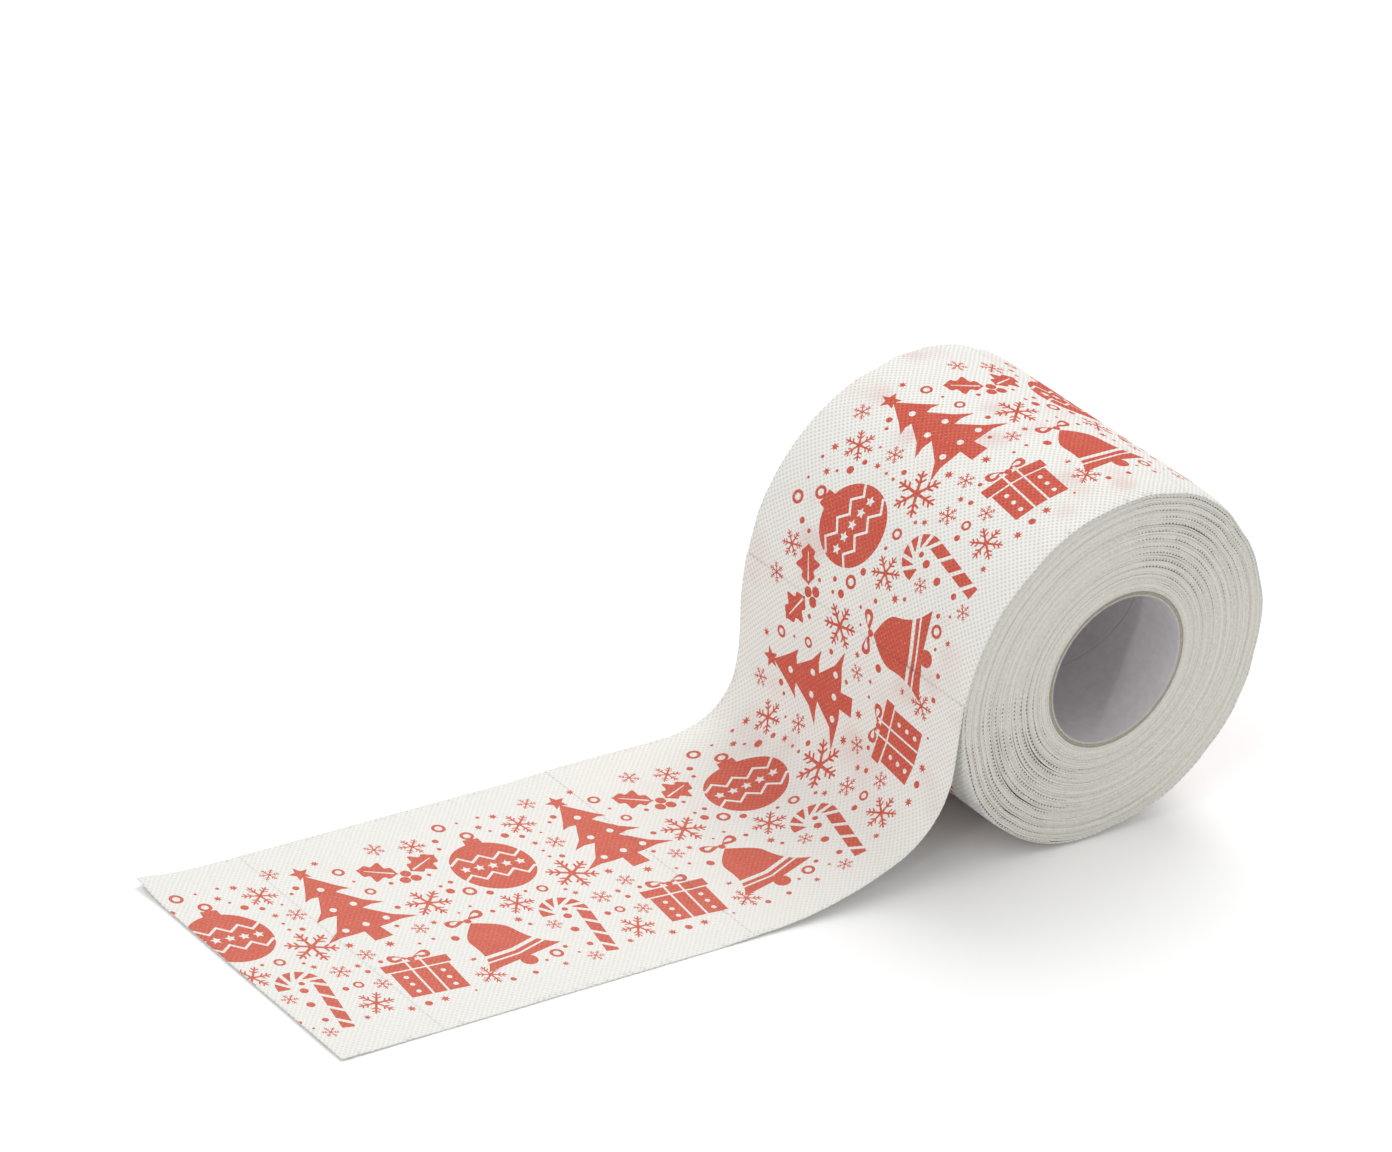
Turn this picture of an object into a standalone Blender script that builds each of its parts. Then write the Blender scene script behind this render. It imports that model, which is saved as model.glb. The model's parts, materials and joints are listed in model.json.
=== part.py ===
"""Printed tissue roll lying on its side, with its loose end run out on the table.

Metres, +Z up. The roll's axis runs along Y and the loose web runs out towards -X. The origin is on the
table, under the middle of the whole object. The web is one strip, perforated into sheets: seen from the
cut end, it lies flat, rises over a soft foot to the side of the roll, goes over the top and winds inward.
"""

import math

import bmesh
import bpy
from mathutils import Vector
from mathutils.geometry import intersect_point_line

# The web
WEB_WIDTH = 0.095
SHEET_LENGTH = 0.100
CUT_LENGTH = 0.032
SHEET_THICKNESS = 0.0004

# The roll, whose outer sheets are modelled one by one and whose inner turns each stand for several thin ones
ROLL_DIAMETER = 0.1075
WRAPPED_SHEETS = 6
INNER_TURNS = 20
TURN_GAP = 0.00045
POINTS_PER_TURN = 32
SHORTEST_STEP = 0.25

# The core: two board strips wound into a tube. The inner strip's helical seam meets the near end at one spoke.
CORE_BORE = 0.0438
PLY_THICKNESS = 0.0006
SEAM_LEAD = 0.066
SEAM_GAP = 0.0006
SEAM_SPOKE = 5

# The loose web between the roll and the table, bent tightly first and more gently as it comes down
FOOT_RADIUS = 0.024
RUNOUT_RADIUS = 0.060
RUNOUT_ANGLE = math.radians(24)
POINTS_PER_BEND = 8

# The space kept between pieces that touch, and the distance under which cut points are one
CLEARANCE = 0.0003
SAME_POINT = 1e-7

# The roll's radii
ROLL_RADIUS = ROLL_DIAMETER / 2
INNER_PLY_RADIUS = CORE_BORE / 2
OUTER_PLY_RADIUS = INNER_PLY_RADIUS + PLY_THICKNESS + CLEARANCE
CORE_RADIUS = OUTER_PLY_RADIUS + PLY_THICKNESS
SHEET_PITCH = SHEET_THICKNESS + CLEARANCE
STEP_ANGLE = 2 * math.pi / POINTS_PER_TURN


def wrapped_angle(length):
    """Angle round the roll, from where the web leaves it, after this length of wrapped sheet."""
    radius = ROLL_RADIUS - SHEET_THICKNESS / 2
    drop = SHEET_PITCH / (2 * math.pi)
    return (radius - math.sqrt(radius**2 - 2 * drop * length)) / drop


# The winding takes over from the wrapped sheets here and ends on the core
WINDING_START = wrapped_angle(WRAPPED_SHEETS * SHEET_LENGTH)
WINDING_RADIUS = ROLL_RADIUS - SHEET_PITCH * WINDING_START / (2 * math.pi)
TURN_PITCH = (WINDING_RADIUS + TURN_GAP - CORE_RADIUS - CLEARANCE) / (INNER_TURNS + 1)
TURN_THICKNESS = TURN_PITCH - TURN_GAP


def outer_radius(angle):
    """Radius of the web's printed face at this angle round the roll."""
    wrapped = min(angle, WINDING_START)
    wound = angle - wrapped
    return ROLL_RADIUS - (SHEET_PITCH * wrapped + TURN_PITCH * wound) / (2 * math.pi)


# Heights above the table, then places along it
AXIS_HEIGHT = outer_radius(1.5 * math.pi)
LOOSE_HEIGHT = SHEET_THICKNESS + CLEARANCE + SHEET_THICKNESS / 2
FOOT_TURN = math.pi / 2 - RUNOUT_ANGLE
FOOT_HEIGHT = FOOT_RADIUS * math.sin(FOOT_TURN) + RUNOUT_RADIUS * (1 - math.cos(RUNOUT_ANGLE))
FOOT_REACH = FOOT_RADIUS * (1 - math.cos(FOOT_TURN)) + RUNOUT_RADIUS * math.sin(RUNOUT_ANGLE)
DROP = AXIS_HEIGHT - LOOSE_HEIGHT - FOOT_HEIGHT
LOOSE_FLAT = SHEET_LENGTH - DROP - FOOT_RADIUS * FOOT_TURN - RUNOUT_RADIUS * RUNOUT_ANGLE
DROP_OFFSET = ROLL_RADIUS + CLEARANCE + SHEET_THICKNESS / 2
TAIL_OFFSET = DROP_OFFSET + FOOT_REACH + LOOSE_FLAT
FOLD_OFFSET = TAIL_OFFSET + SHEET_LENGTH
AXIS_X = (FOLD_OFFSET + CUT_LENGTH - outer_radius(math.pi)) / 2


def new_collection(name):
    collection = bpy.data.collections.new(name)
    bpy.context.scene.collection.children.link(collection)
    return collection


def new_material(name, colour, roughness):
    material = bpy.data.materials.new(name)
    material.use_nodes = True
    shader = material.node_tree.nodes["Principled BSDF"]
    shader.inputs["Base Color"].default_value = (*colour, 1.0)
    shader.inputs["Roughness"].default_value = roughness
    shader.inputs["Metallic"].default_value = 0.0
    return material


def new_axis(name, location, collection):
    """An empty on a joint's axis, which carries the pieces that move about it."""
    axis = bpy.data.objects.new(name, None)
    axis.empty_display_size = CORE_BORE / 4
    axis.location = location
    collection.objects.link(axis)
    return axis


def new_piece(name, mesh, thickness, material, parent, collection):
    """One piece, made by giving an open surface its thickness, half to each side."""
    mesh.materials.append(material)
    mesh.shade_smooth()
    piece = bpy.data.objects.new(name, mesh)
    piece.parent = parent
    collection.objects.link(piece)
    solidify = piece.modifiers.new("thickness", "SOLIDIFY")
    solidify.thickness = thickness
    solidify.offset = 0.0
    solidify.use_even_offset = True
    return piece


def strip_mesh(name, path):
    """The web's middle surface along a path of (x, z) points, across its whole width."""
    mesh = bmesh.new()
    verts = [mesh.verts.new((x, -WEB_WIDTH / 2, z)) for x, z in path]
    edges = [mesh.edges.new(pair) for pair in zip(verts, verts[1:])]
    extruded = bmesh.ops.extrude_edge_only(mesh, edges=edges)
    far_verts = [item for item in extruded["geom"] if isinstance(item, bmesh.types.BMVert)]
    bmesh.ops.translate(mesh, verts=far_verts, vec=(0, WEB_WIDTH, 0))
    data = bpy.data.meshes.new(name)
    mesh.to_mesh(data)
    mesh.free()
    return data


def wound_path(start, end, thickness):
    """Points of the web's middle surface round the roll, on the same spokes in every turn."""
    first = math.ceil(start / STEP_ANGLE + SHORTEST_STEP)
    last = math.floor(end / STEP_ANGLE - SHORTEST_STEP)
    angles = [start] + [STEP_ANGLE * spoke for spoke in range(first, last + 1)] + [end]
    path = []
    for angle in angles:
        radius = outer_radius(angle) - thickness / 2
        path.append((-radius * math.cos(angle), radius * math.sin(angle)))
    return path


def bend(start, radius, heading, turn):
    """Points of an arc that starts at this heading, measured from straight down towards -X."""
    points = []
    for step in range(1, POINTS_PER_BEND + 1):
        now = heading + turn * step / POINTS_PER_BEND
        x = start[0] + radius * (math.cos(now) - math.cos(heading))
        z = start[1] - radius * (math.sin(now) - math.sin(heading))
        points.append((x, z))
    return points


def loose_path():
    """Down the side of the roll, round the foot and out to the first perforation, from the roll's axis."""
    path = [(-DROP_OFFSET, 0.0), (-DROP_OFFSET, -DROP)]
    path += bend(path[-1], FOOT_RADIUS, 0.0, FOOT_TURN)
    path += bend(path[-1], RUNOUT_RADIUS, FOOT_TURN, RUNOUT_ANGLE)
    path.append((-TAIL_OFFSET + CLEARANCE / 2, path[-1][1]))
    return path


def core_ply_mesh(name, radius, start_step):
    """The middle surface of one board strip of the core: a helical band, cut square at both ends."""
    mesh = bmesh.new()
    start = start_step * STEP_ANGLE
    low = -WEB_WIDTH / 2 - SEAM_LEAD
    bottom = (-radius * math.cos(start), low, radius * math.sin(start))
    top = (bottom[0], low + SEAM_LEAD - SEAM_GAP, bottom[2])
    edge = mesh.edges.new([mesh.verts.new(bottom), mesh.verts.new(top)])
    turns = math.ceil(WEB_WIDTH / SEAM_LEAD) + 2
    bmesh.ops.spin(
        mesh,
        geom=[*edge.verts, edge],
        cent=(0, 0, 0),
        axis=(0, 1, 0),
        dvec=(0, SEAM_LEAD / POINTS_PER_TURN, 0),
        angle=2 * math.pi * turns,
        steps=POINTS_PER_TURN * turns,
    )
    for side in (-1, 1):
        bmesh.ops.bisect_plane(
            mesh,
            geom=[*mesh.verts, *mesh.edges, *mesh.faces],
            dist=SAME_POINT,
            plane_co=(0, side * WEB_WIDTH / 2, 0),
            plane_no=(0, side, 0),
            clear_outer=True,
        )
    data = bpy.data.meshes.new(name)
    mesh.to_mesh(data)
    mesh.free()
    return data


def least_turn_gap(path):
    """The least space between neighbouring turns of the winding, measured from points to chords."""
    points = [Vector((x, 0, z)) for x, z in path]
    gaps = []
    for index, point in enumerate(points):
        next_turn = points[index + POINTS_PER_TURN - 2 : index + POINTS_PER_TURN + 3]
        for near, far in zip(next_turn, next_turn[1:]):
            foot, share = intersect_point_line(point, near, far)
            nearest = foot if 0 <= share <= 1 else near
            gaps.append((point - nearest).length - TURN_THICKNESS)
    return min(gaps)


def build_core(lined_board, grey_board, roll_axis, parts):
    inner_mid = INNER_PLY_RADIUS + PLY_THICKNESS / 2
    outer_mid = OUTER_PLY_RADIUS + PLY_THICKNESS / 2
    inner = core_ply_mesh("core_inner_ply", inner_mid, SEAM_SPOKE)
    outer = core_ply_mesh("core_outer_ply", outer_mid, SEAM_SPOKE + POINTS_PER_TURN // 2)
    new_piece("core_inner_ply", inner, PLY_THICKNESS, lined_board, roll_axis, parts)
    new_piece("core_outer_ply", outer, PLY_THICKNESS, grey_board, roll_axis, parts)


def build_winding(wound_tissue, roll_axis, parts):
    """The inner turns, as one unbroken strip from the last wrapped sheet in to the core."""
    start = wrapped_angle(WRAPPED_SHEETS * SHEET_LENGTH + CLEARANCE)
    path = wound_path(start, WINDING_START + 2 * math.pi * INNER_TURNS, TURN_THICKNESS)
    mesh = strip_mesh("wound_web", path)
    new_piece("wound_web", mesh, TURN_THICKNESS, wound_tissue, roll_axis, parts)
    print(f"Least gap between turns of wound_web: {least_turn_gap(path) * 1000:.3f} mm")


def build_wrapped_sheets(printed_tissue, roll_axis, parts):
    """The outer turns, sheet by sheet, numbered inward from where the web leaves the roll."""
    for number in range(1, WRAPPED_SHEETS + 1):
        name = f"wrapped_sheet_{number}"
        start = wrapped_angle((number - 1) * SHEET_LENGTH + CLEARANCE / 2)
        end = wrapped_angle(number * SHEET_LENGTH - CLEARANCE / 2)
        mesh = strip_mesh(name, wound_path(start, end, SHEET_THICKNESS))
        new_piece(name, mesh, SHEET_THICKNESS, printed_tissue, roll_axis, parts)


def build_loose_web(printed_tissue, loose_web, tail_end, fold_line, parts):
    """The sheet that comes off the roll, the sheet on the table and the sheet cut short beyond it."""
    mesh = strip_mesh("loose_sheet", loose_path())
    new_piece("loose_sheet", mesh, SHEET_THICKNESS, printed_tissue, loose_web, parts)
    middle = -SHEET_THICKNESS / 2
    half_gap = CLEARANCE / 2
    mesh = strip_mesh("tail_sheet", [(-half_gap, middle), (half_gap - SHEET_LENGTH, middle)])
    new_piece("tail_sheet", mesh, SHEET_THICKNESS, printed_tissue, tail_end, parts)
    mesh = strip_mesh("cut_sheet", [(-half_gap, middle), (-CUT_LENGTH, middle)])
    new_piece("cut_sheet", mesh, SHEET_THICKNESS, printed_tissue, fold_line, parts)


def main():
    for old in list(bpy.data.objects):
        bpy.data.objects.remove(old, do_unlink=True)
    parts = new_collection("printed_tissue_roll")
    axes = new_collection("axes")
    printed_tissue = new_material("printed_tissue", (0.86, 0.80, 0.78), 0.9)
    wound_tissue = new_material("wound_tissue", (0.80, 0.77, 0.74), 0.95)
    lined_board = new_material("lined_board", (0.42, 0.40, 0.44), 0.85)
    grey_board = new_material("grey_board", (0.42, 0.35, 0.29), 0.9)
    roll_axis = new_axis("roll_axis", (AXIS_X, 0, AXIS_HEIGHT), axes)
    loose_web = new_axis("loose_web", (AXIS_X, 0, AXIS_HEIGHT), axes)
    tail_end = new_axis("tail_end", (AXIS_X - TAIL_OFFSET, 0, SHEET_THICKNESS), axes)
    fold_line = new_axis("fold_line", (AXIS_X - FOLD_OFFSET, 0, SHEET_THICKNESS), axes)
    build_core(lined_board, grey_board, roll_axis, parts)
    build_winding(wound_tissue, roll_axis, parts)
    build_wrapped_sheets(printed_tissue, roll_axis, parts)
    build_loose_web(printed_tissue, loose_web, tail_end, fold_line, parts)


main()
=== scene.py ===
"""Looks of a printed tissue roll: the printed sheets, the fine winding, the board core, light and camera.

Metres, +Z up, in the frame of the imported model. The web is one strip, and a place on it is (s, v): s runs
along it from the cut end towards the roll, and v across it from the near edge to the far one. Only the
print is drawn in millimetres, on the flat web.
"""

import json
import math

import bmesh
import bpy
import numpy as np
from mathutils import Matrix, Vector, noise
from mathutils.geometry import delaunay_2d_cdt


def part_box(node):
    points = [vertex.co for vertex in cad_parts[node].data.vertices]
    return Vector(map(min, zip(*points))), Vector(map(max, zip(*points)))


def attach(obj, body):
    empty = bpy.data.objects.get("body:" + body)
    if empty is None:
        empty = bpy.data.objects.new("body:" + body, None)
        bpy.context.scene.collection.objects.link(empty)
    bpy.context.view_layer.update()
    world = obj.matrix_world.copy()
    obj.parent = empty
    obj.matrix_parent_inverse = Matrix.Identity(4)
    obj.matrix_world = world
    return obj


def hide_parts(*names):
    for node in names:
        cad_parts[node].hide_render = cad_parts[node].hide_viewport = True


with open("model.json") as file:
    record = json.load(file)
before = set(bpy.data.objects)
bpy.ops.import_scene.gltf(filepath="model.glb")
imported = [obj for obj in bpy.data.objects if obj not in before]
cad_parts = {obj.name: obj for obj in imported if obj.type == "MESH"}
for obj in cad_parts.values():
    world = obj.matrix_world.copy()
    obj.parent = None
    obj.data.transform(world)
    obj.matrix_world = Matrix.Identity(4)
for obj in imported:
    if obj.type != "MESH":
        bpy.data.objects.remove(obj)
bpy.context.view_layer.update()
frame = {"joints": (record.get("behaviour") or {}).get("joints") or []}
MM = 0.001

# Places of the frame
JOINTS = {joint["name"]: joint for joint in frame["joints"]}
AXIS = Vector(JOINTS["roll_turn"]["pos_m"])
FOLD_X = JOINTS["cut_end_fold"]["pos_m"][0]
CUT_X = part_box("cut_sheet")[0][0]
TAIL_X = (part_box("tail_sheet")[1][0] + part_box("loose_sheet")[0][0]) / 2
WEB_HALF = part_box("wound_web")[1][1]
INNER_PLY_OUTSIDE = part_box("core_inner_ply")[1][2] - AXIS.z
OUTER_PLY_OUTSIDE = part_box("core_outer_ply")[1][2] - AXIS.z

# The web's sheets: their places along s, how many lie round the roll, and their thickness
CUT_LENGTH = FOLD_X - CUT_X
SHEET_LENGTH = TAIL_X - FOLD_X
S_FOLD = CUT_LENGTH
S_TAIL = S_FOLD + SHEET_LENGTH
S_ROLL = S_TAIL + SHEET_LENGTH
WRAPPED_SHEETS = 6
TISSUE = 0.00020

# The round of the roll. The outer turns close in slowly, and a quarter turn brings up one print repeat.
FLOOR_SPACE = 0.00003
LAYER_SPACE = 0.00003
WRAP_DROP = TISSUE + LAYER_SPACE
FIRST_RADIUS = AXIS.z + WRAP_DROP / 4 - FLOOR_SPACE
DENT_DEPTH = 0.0002
DENT_SIZE = 0.030
PRINT_REPEAT = FIRST_RADIUS * math.pi / 2 / MM

# The soft rims at the two ends, and the places where each is pressed in: angle and width in degrees, depth
RIM_WIDTH = 0.0042
RIM_DEPTH = 0.0003
RIM_DENT = 0.0012
RIM_DENT_SIZE = 0.011
DENT_REACH = 0.014
NEAR_DENTS = ((148, 30, 0.0017), (186, 12, 0.0007), (262, 13, 0.0008))
FAR_DENTS = ((205, 26, 0.0010), (318, 16, 0.0006))

# The winding: its turns, the steps round them, and how unevenly they lie
TURNS = 42
FINE_STEP = math.radians(0.3)
COARSE_STEP = math.radians(1.25)
TURN_UNEVEN = 0.25
WINDING_SPACE = 0.00002
LAP_START = 0.97
TELESCOPE = 0.00012
SLIP_RANGE = (-1, 3)
FRAY = 0.00008
RIM_RECESS = 0.00015
RECESS_FADE = 0.0015
SHARP_ANGLE = math.radians(50)
WINDING_SEED = 11

# Where its turns are slack: angle and width in degrees, and how far open
SLACK = ((324, 28, 1.0), (122, 30, 0.6))
SLACK_LEAST = 0.05

# The dots between slack turns. One row in DOT_ROW is open, in patches, and the turns by the core are tight.
CLOSED_GAP = 0.00003
DOT_GAP = 0.0024
DOT_PITCH = 0.0013
DOT_SHARPNESS = 4
DOT_ROW = 3
ROW_DEPTH = (0.5, 1.0)
CLOSED_ROW = 0.08
PATCH_SIZE = 0.006
PATCH_MIDDLE = 0.7
PATCH_SWING = 1.4
PATCH_LEAST = 0.2
TIGHT_REACH = 0.010
WIDEST = 0.85

# Long gaps between two turns, partly dotted: distance from the axis, angle and width in degrees, and gap
GAP_DOTS = 0.4
LONG_GAPS = (
    (0.0325, 320, 17, 0.00055),
    (0.0436, 313, 15, 0.00050),
    (0.0415, 342, 9, 0.00036),
    (0.0488, 311, 6, 0.00042),
    (0.0372, 330, 13, 0.00034),
    (0.0445, 116, 12, 0.00028),
    (0.0352, 112, 9, 0.00024),
)

# The core. Its outer strip is drawn thick enough to meet the inner one.
PLY = 0.0006
PLY_SPACE = 0.00002
PLY_STEPS = 192
SEAM_LEAD = 0.066
SEAM_GAP = 0.00008
SEAM_START = math.radians(56.25)
BOARD_FRAY = 0.00012
BOARD_FRAY_SCALE = 900
BOARD_EDGE = 0.0004

# The sheets on the table
TAIL_TOP = 0.00032
TAIL_WAVE = 0.00014
FOLD_CALM = 0.006
TAIL_HIGHEST = 0.00078
STEP_UP = 0.014
WAVE_SIZE = 0.022
CUT_WAVE = 0.0007
CORNER_CURL = 0.0015
CORNER_REACH = 0.018

# The loose sheet's laps over its neighbours, where it thins out
LAP_SPACE = 0.00003
LOOSE_LIFT = TISSUE + LAP_SPACE
LOOSE_TOP = TAIL_HIGHEST + LAP_SPACE + TISSUE
OVERLAP = 0.0014
LAP_TAPER = 0.005
LAP_THIN = 0.15

# Its bends at the near edge and at the far edge, where it tucks in under the roll
FOOT_RADIUS = (0.027, 0.015)
RUNOUT_RADIUS = (0.106, 0.035)
RUNOUT_ANGLE = (math.radians(24.7), math.radians(19.4))
TUCK = 0.0018
TUCK_TOP = 0.046

# The print, in millimetres
GRID = 2.0
GRID_MARGIN = 0.6
EDGE_STEP = 1.0
EDGE_FRAY = 0.20
EDGE_FRAY_SCALE = 0.9
TOOTH = 1.5
TOOTH_DEPTH = 0.05
CLEAR_EDGE = 11.5
PRINT_PHASE = 30.0
FILLER_SPACE = 1.2
FILLER_LEAN = 60
OUTLINE_STEP = 0.8
FILLER_SEED = 5
SAME_POINT = 1e-5

# The layers of noise that each unevenness is read from
TAIL_LAYER = 1.0
ROUND_LAYER = 3.0
CUT_LAYER = 5.0
RIM_LAYER = 7.0
PATCH_LAYER = 9.0
NEAR_LAYER = 1
FAR_LAYER = 2

# Colours, linear
PAPER = (0.905, 0.890, 0.848, 1)
# Grey for the paper's faint clouds, and painted shade in its dimples
PAPER_GREY_AND_PAINTED_SHADE = (0.560, 0.543, 0.510, 1)
SHOW_THROUGH = (0.780, 0.560, 0.520, 1)
INK = (0.620, 0.098, 0.064, 1)
INK_LIGHT = (0.800, 0.310, 0.235, 1)
# Painted shade in the ink's dimples
INK_PAINTED_SHADE = (0.430, 0.060, 0.040, 1)
# The cut edges, greyer than the face paper: painted shade of the fine gaps between the layers
EDGE_LIGHT = (0.850, 0.828, 0.762, 1)
EDGE_DARK = (0.690, 0.666, 0.600, 1)
LINER = (0.680, 0.655, 0.668, 1)
LINER_DARK = (0.600, 0.575, 0.588, 1)
LINER_EDGE = (0.620, 0.605, 0.555, 1)
BOARD_LIGHT = (0.480, 0.450, 0.385, 1)
BOARD = (0.340, 0.310, 0.250, 1)
WHITE = (1.0, 1.0, 1.0, 1)

# Roughness of the surfaces, which have little gloss
TISSUE_ROUGHNESS = 0.95
INK_ROUGHNESS = 0.9
BOARD_ROUGHNESS = 0.85
FLOOR_ROUGHNESS = 1.0
SPECULAR = 0.15

# The embossed lattice. Pairs are for the web lying loose and wound: the dimples get painted shade, deeper on
# the roll, and the ink on the table is paler as painted light.
EMBOSS_PITCH = 0.0017
EMBOSS_WANDER = 0.0006
EMBOSS_DRIFT_SCALE = 130.0
DIMPLE_PAINTED_SHADE = (0.18, 0.48)
INK_DIMPLE_PAINTED_SHADE = (0.2, 0.5)
INK_PAINTED_LIGHT_ON_TABLE = (0.22, 0.0)

# Patterns in the materials: scale for each metre, and the two values between which each comes in
DIMPLE_EDGE = (0.0, 0.8)
CREASE_SCALE = 70
FIBRE_SCALE = 2600
CLOUD_SCALE = 45
BLOTCH_SCALE = 95.0
BLOTCH_EDGE = (0.12, 0.52)
BLOTCH_PATCH_SCALE = 28
BLOTCH_PATCH_EDGE = (0.42, 0.66)
SPECKLE_SCALE = 1500
SPECKLE_EDGE = (0.52, 0.74)
INK_CLOUD_SCALE = 160
LAYER_SCALE = 900.0
CUT_FIBRE_SCALE = 1400
CUT_TONE = (0.40, 0.74)
LINER_FIBRE_SCALE = 420
RIM_FIBRE_SCALE = 1100
BOARD_CLOUD_SCALE = 55
BOARD_TONE = (0.3, 0.7)
SPECK_SCALE = 1900
SPECK_EDGE = (0.64, 0.74)

# How much some of them show, and the print from the layer below and from behind
CLOUD_SHARE = 0.07
SHOWN_FROM_BELOW = 0.55
SHOWN_FROM_BEHIND = 0.25
SPECKLE_SHARE = 0.55
INK_CLOUD_SHARE = 0.22
LAYER_SHARE = 0.6
CUT_FIBRE_SHARE = 0.5
BOARD_FIBRE_SHARE = 0.6
BOARD_CLOUD_SHARE = 0.4
SPECK_SHARE = 0.35

# Bumps: strength, and depth in metres
CREASE_BUMP = (0.35, 0.0012)
FIBRE_BUMP = (0.25, 0.0001)
DIMPLE_BUMP = (0.7, 0.00022)
CUT_BUMP = (0.5, 0.0002)
BOARD_BUMP = (0.3, 0.0002)

# Light all round, and the floor as it lights the object and as it is seen
SKY = 0.60
FLOOR = (0.800, 0.800, 0.800, 1)
FLOOR_SEEN = (1.060, 1.060, 1.060, 1)
FLOOR_SIZE = 6

# Lamps: name, direction from the object, size and power
LAMP_DISTANCE = 1.7
LAMPS = (
    ("key", (0.45, 0.35, 0.82), 1.0, 11.6),
    ("left", (-0.52, -0.12, 0.85), 1.0, 4.6),
    ("front", (0.0, -0.90, 0.44), 1.0, 0.5),
    ("side", (-0.881, -0.409, 0.236), 0.07, 3.4),
)

# The camera, as the photograph was taken: its place, its heading and its tilt to the side
CAMERA_PLACE = (-1.03646, -1.19034, 0.91283)
CAMERA_AZIMUTH = math.radians(-40.656)
CAMERA_ELEVATION = math.radians(27.846)
CAMERA_TILT = math.radians(7.481)
CAMERA_LENS = 175.65
SENSOR_WIDTH = 36.0
CAMERA_CLIP_END = 20


def between(pair, share):
    """A value that goes evenly from the first of a pair to the second."""
    return pair[0] + (pair[1] - pair[0]) * share


def smooth(value):
    """A soft step from 0 to 1."""
    share = np.clip(value, 0, 1)
    return share * share * (3 - 2 * share)


def ripple(x, y, z, size, layer):
    """Smooth unevenness between -1 and 1 over places in space, with bumps of about this size."""
    x, y, z = np.broadcast_arrays(x, y, z)
    places = zip(x.ravel() / size, y.ravel() / size, z.ravel() / size + layer)
    values = [noise.noise(place) for place in places]
    return np.array(values).reshape(x.shape)


# Steps along the curves of the motifs
LOOP_STEPS = 18
BELL_STEPS = 16
HOOK_STEPS = 12
LEAF_STEPS = 24


# Motifs of the print, each about one unit high round its own middle: a list of (is_ink, outline) pairs


def circle(x, y, radius, points):
    turns = [2 * math.pi * step / points for step in range(points)]
    return [(x + radius * math.cos(turn), y + radius * math.sin(turn)) for turn in turns]


def bar(start, end, width, end_width=None):
    """A straight stroke, which may taper."""
    x0, y0 = start
    x1, y1 = end
    length = math.hypot(x1 - x0, y1 - y0)
    across = ((y0 - y1) / length, (x1 - x0) / length)
    a = width / 2
    b = (width if end_width is None else end_width) / 2
    return [
        (x0 - across[0] * a, y0 - across[1] * a),
        (x1 - across[0] * b, y1 - across[1] * b),
        (x1 + across[0] * b, y1 + across[1] * b),
        (x0 + across[0] * a, y0 + across[1] * a),
    ]


def stroke(path, width):
    """A bent stroke of even width along a path."""
    left, right = [], []
    for index, (x, y) in enumerate(path):
        before = path[max(index - 1, 0)]
        after = path[min(index + 1, len(path) - 1)]
        length = math.hypot(after[0] - before[0], after[1] - before[1])
        nx = (before[1] - after[1]) / length * width / 2
        ny = (after[0] - before[0]) / length * width / 2
        left.append((x + nx, y + ny))
        right.append((x - nx, y - ny))
    return right + left[::-1]


def mirrored(half):
    """A closed outline from its right half, top to bottom."""
    return half + [(-x, y) for x, y in reversed(half) if x > 0]


def star(x, y, radius, points, waist):
    outline = []
    for step in range(2 * points):
        reach = radius if step % 2 == 0 else radius * waist
        turn = math.pi / 2 + math.pi * step / points
        outline.append((x + reach * math.cos(turn), y + reach * math.sin(turn)))
    return outline


def bow(y, size):
    """Two loops and a knot."""
    shapes = []
    for side in (-1, 1):
        loop = []
        hole = []
        for step in range(LOOP_STEPS):
            turn = 2 * math.pi * step / LOOP_STEPS
            reach = size * (1 - math.cos(turn)) / 2
            height = size * 0.42 * math.sin(turn) * (1 - math.cos(turn)) / 2
            loop.append((side * reach, y + size * 0.25 * math.sin(turn / 2) + height))
            hole.append((side * (0.28 + 0.5 * reach / size) * size, y + size * 0.22 + 0.42 * height))
        shapes += [(True, loop), (False, hole)]
    return shapes + [(True, circle(0, y, size * 0.17, 12))]


def fir_tree():
    half = [(0, 0.42)]
    shapes = []
    for tier in range(3):
        hem = 0.16 - 0.25 * tier
        reach = 0.19 + 0.095 * tier
        half += [
            (reach * 0.62, hem + 0.075),
            (reach, hem - 0.02),
            (reach * 0.66, hem),
            (reach * 0.38, hem - 0.01),
        ]
        for place in range(tier + 1):
            x = (place - tier / 2) * 0.17
            shapes.append((False, circle(x, hem + 0.06, 0.026, 10)))
    half += [(0.065, -0.35), (0.075, -0.48)]
    return [(True, mirrored(half)), (True, star(0, 0.45, 0.085, 5, 0.45))] + shapes


def bell():
    half = []
    for step in range(BELL_STEPS + 1):
        drop = step / BELL_STEPS
        reach = 0.25 * math.sin(math.pi / 2 * min(1, 2.6 * drop)) + 0.20 * drop**4
        half.append((reach, 0.32 - 0.70 * drop))
    shapes = [(True, mirrored(half))]
    shapes.append((False, stroke([(-0.5, -0.17), (0, -0.22), (0.5, -0.17)], 0.045)))
    shapes.append((False, stroke([(-0.5, -0.25), (0, -0.30), (0.5, -0.25)], 0.022)))
    shapes.append((True, circle(0, -0.43, 0.085, 14)))
    return shapes + bow(0.36, 0.22)


def bauble():
    shapes = [(True, circle(0, -0.08, 0.38, 40)), (True, bar((0, 0.26), (0, 0.37), 0.17, 0.15))]
    shapes += [(True, circle(0, 0.43, 0.065, 14)), (False, circle(0, 0.43, 0.034, 12))]
    for level in (0.06, -0.22):
        path = [(0.1 * step - 0.45, level + 0.045 * (-1) ** step) for step in range(10)]
        shapes.append((False, stroke(path, 0.034)))
    for step in range(-2, 3):
        shapes.append((False, star(0.13 * step, -0.08, 0.052, 5, 0.5)))
    return shapes


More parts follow.
